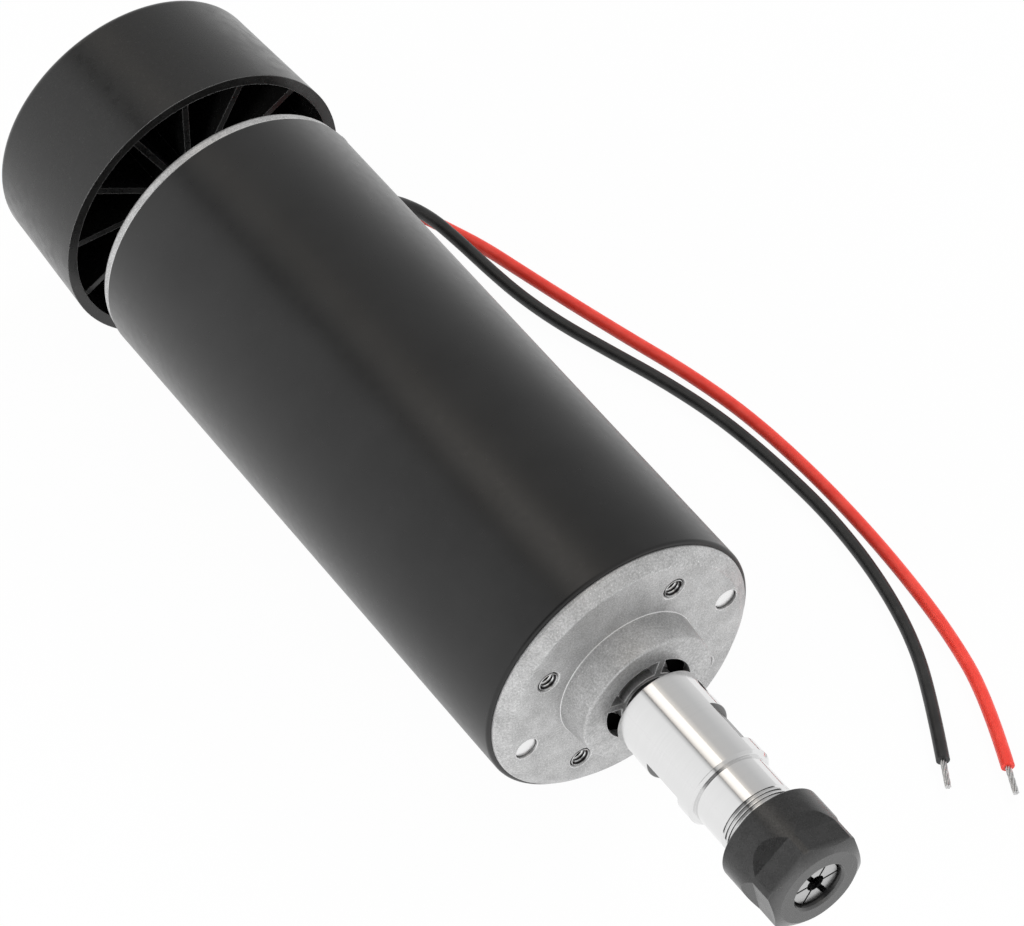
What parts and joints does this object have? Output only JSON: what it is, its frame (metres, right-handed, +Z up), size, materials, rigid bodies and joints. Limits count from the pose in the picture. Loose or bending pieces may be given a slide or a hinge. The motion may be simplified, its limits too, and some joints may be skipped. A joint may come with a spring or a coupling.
{
  "type": "motor spindle",
  "caption": "Cylindrical brushed motor spindle with a cup-shaped cooling fan, a flanged nose, a collet chuck with a hexagonal nut and two loose leads.",
  "frame": {"origin": "centre of the mounting face on the front end cap, on the spindle's axis", "axes": "-Y along the spindle's axis towards the collet, +Y towards the fan, +Z up as it lies, +X to the side where the leads come out"},
  "size_m": [0.0947, 0.2059, 0.056],
  "materials": {
    "black_paint": "gloss",
    "cast_aluminium": "cast, fine grain",
    "bolt_steel": "zinc plated",
    "ferrite": "matt",
    "spring_steel": "satin",
    "bearing_steel": "polished",
    "cage_nylon": "satin",
    "ground_steel": "ground",
    "blackened_steel": "black oxide, satin",
    "screw_steel": "black oxide",
    "collet_steel": "ground",
    "lamination_steel": "stacked sheets",
    "enamelled_copper": "varnished",
    "fibre": "matt",
    "moulding": "matt",
    "copper": "turned",
    "spacer_steel": "turned",
    "phenolic": "satin",
    "brass": "satin",
    "carbon": "matt",
    "black_nylon": "satin",
    "black_sheath": "satin",
    "red_sheath": "satin",
    "tinned_copper": "tinned strands"
  },
  "bodies": {
    "housing": {"housing_tube": "black_paint", "front_end_cap": "cast_aluminium", "rear_end_cap": "cast_aluminium", "tie_bolts": "bolt_steel", "magnets": "ferrite", "magnet_clips": "spring_steel", "front_bearing_outer": "bearing_steel", "rear_bearing_outer": "bearing_steel", "wave_washer": "spring_steel", "brush_plate": "phenolic", "brush_holders": "brass", "upper_brush_spring": "spring_steel", "lower_brush_spring": "spring_steel", "brush_terminals": "brass", "lead_block": "black_nylon", "black_lead_tail": "black_sheath", "red_lead_tail": "red_sheath", "black_lead": "black_sheath", "red_lead": "red_sheath", "black_lead_tip": "tinned_copper", "red_lead_tip": "tinned_copper"},
    "rotor": {"rotor_shaft": "ground_steel", "armature_core": "lamination_steel", "armature_windings": "enamelled_copper", "end_insulators": "fibre", "commutator_core": "moulding", "commutator_bars": "copper", "front_spacer": "spacer_steel", "rear_spacer": "spacer_steel", "front_bearing_inner": "bearing_steel", "rear_bearing_inner": "bearing_steel", "cooling_fan": "black_nylon", "fan_bush": "brass", "chuck_sleeve": "ground_steel", "chuck_screws": "screw_steel"},
    "front_cage": {"front_bearing_balls": "bearing_steel", "front_bearing_cage": "cage_nylon"},
    "rear_cage": {"rear_bearing_balls": "bearing_steel", "rear_bearing_cage": "cage_nylon"},
    "collet": {"collet": "collet_steel"},
    "nut": {"collet_nut": "blackened_steel"},
    "upper_brush": {"upper_brush": "carbon"},
    "lower_brush": {"lower_brush": "carbon"}
  },
  "joints": [
    {"name": "rotor_spin", "type": "hinge", "parent": "housing", "child": "rotor", "pos_m": [0, 0, 0], "axis": [0, -1, 0], "continuous": true},
    {"name": "front_cage_spin", "type": "hinge", "parent": "housing", "child": "front_cage", "pos_m": [0, 0, 0], "axis": [0, -1, 0], "continuous": true},
    {"name": "rear_cage_spin", "type": "hinge", "parent": "housing", "child": "rear_cage", "pos_m": [0, 0, 0], "axis": [0, -1, 0], "continuous": true},
    {"name": "collet_slide", "type": "slide", "parent": "rotor", "child": "collet", "axis": [0, -1, 0], "range_m": [0, 0.003]},
    {"name": "nut_turn", "type": "hinge", "parent": "collet", "child": "nut", "pos_m": [0, -0.045, 0], "axis": [0, -1, 0], "range_deg": [0, 1444]},
    {"name": "upper_brush_lift", "type": "slide", "parent": "housing", "child": "upper_brush", "axis": [0, 0, 1], "range_m": [0, 0.002], "stiffness_N_per_m": 400, "springref_m": -0.001, "deforming": ["upper_brush_spring"]},
    {"name": "lower_brush_lift", "type": "slide", "parent": "housing", "child": "lower_brush", "axis": [0, 0, -1], "range_m": [0, 0.002], "stiffness_N_per_m": 400, "springref_m": -0.001, "deforming": ["lower_brush_spring"]}
  ],
  "couplings": [
    {"joint": "front_cage_spin", "follows": "rotor_spin", "ratio": 0.37},
    {"joint": "rear_cage_spin", "follows": "rotor_spin", "ratio": 0.37},
    {"joint": "nut_turn", "follows": "collet_slide", "rad_per_m": 8377.6}
  ]
}
